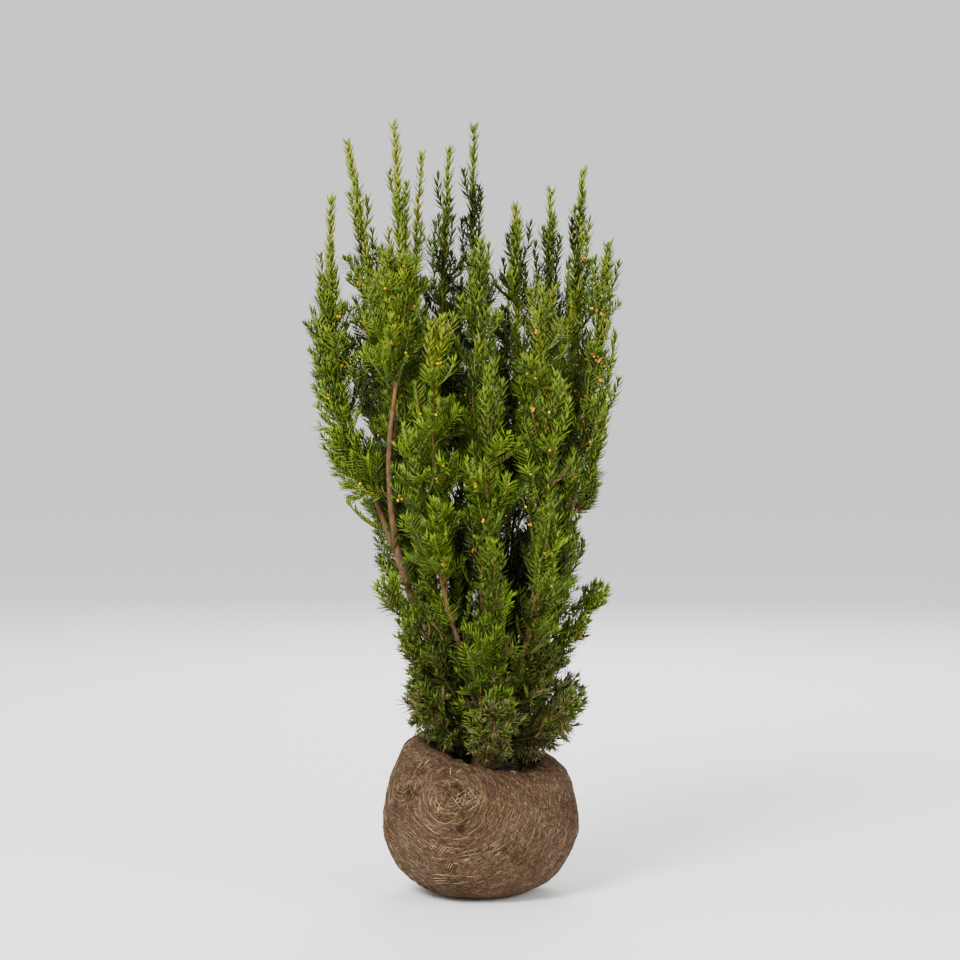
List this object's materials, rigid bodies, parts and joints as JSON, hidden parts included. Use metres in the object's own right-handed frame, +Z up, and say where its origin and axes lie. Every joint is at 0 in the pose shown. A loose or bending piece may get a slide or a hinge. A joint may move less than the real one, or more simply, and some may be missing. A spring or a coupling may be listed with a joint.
{
  "type": "balled-and-burlapped upright yew shrub",
  "caption": "Upright, many-stemmed evergreen yew with bare leader tips, lifted with its round root ball wrapped in burlap.",
  "frame": {"origin": "middle of the root ball's flat underside", "axes": "+Z up along the plant, -Y towards the side shown in the picture, +X to that side's right"},
  "size_m": [0.6114, 0.5082, 1.51],
  "materials": {
    "burlap": "matte",
    "bark": "matte",
    "fresh_needles": "matte",
    "needles": "matte",
    "old_needles": "matte"
  },
  "bodies": {
    "root": {"burlap_lip": "burlap", "foliage_centre": "fresh_needles", "foliage_centre_left": "fresh_needles", "foliage_front": "fresh_needles", "foliage_inner_left": "needles", "foliage_inner_right": "needles", "foliage_left_back": "fresh_needles", "foliage_left_inner": "fresh_needles", "foliage_left_outer": "fresh_needles", "foliage_left_tall": "fresh_needles", "foliage_low_1": "old_needles", "foliage_low_2": "old_needles", "foliage_low_3": "old_needles", "foliage_low_4": "old_needles", "foliage_low_5": "old_needles", "foliage_low_6": "old_needles", "foliage_low_7": "old_needles", "foliage_mid_far_left": "needles", "foliage_mid_front": "needles", "foliage_mid_front_left": "needles", "foliage_mid_front_right": "needles", "foliage_mid_left_back": "needles", "foliage_mid_left_low": "needles", "foliage_mid_left_outer": "needles", "foliage_mid_rear": "needles", "foliage_mid_rear_right": "needles", "foliage_mid_right": "needles", "foliage_mid_right_low": "needles", "foliage_rear": "fresh_needles", "foliage_rear_far": "fresh_needles", "foliage_rear_left": "fresh_needles", "foliage_rear_right": "fresh_needles", "foliage_right_back": "fresh_needles", "foliage_right_front": "fresh_needles", "foliage_right_outer": "fresh_needles", "foliage_right_spray": "fresh_needles", "foliage_right_tall": "fresh_needles", "foliage_skirt_1": "old_needles", "foliage_skirt_2": "old_needles", "foliage_skirt_3": "old_needles", "foliage_skirt_4": "old_needles", "foliage_skirt_5": "old_needles", "foliage_skirt_6": "old_needles", "root_ball": "burlap", "stem_centre": "bark", "stem_centre_left": "bark", "stem_front": "bark", "stem_front_left": "bark", "stem_front_right": "bark", "stem_left": "bark", "stem_left_middle": "bark", "stem_left_outer": "bark", "stem_rear": "bark", "stem_rear_left": "bark", "stem_rear_right": "bark", "stem_right": "bark", "stem_right_outer": "bark", "trunk": "bark"}
  },
  "joints": []
}
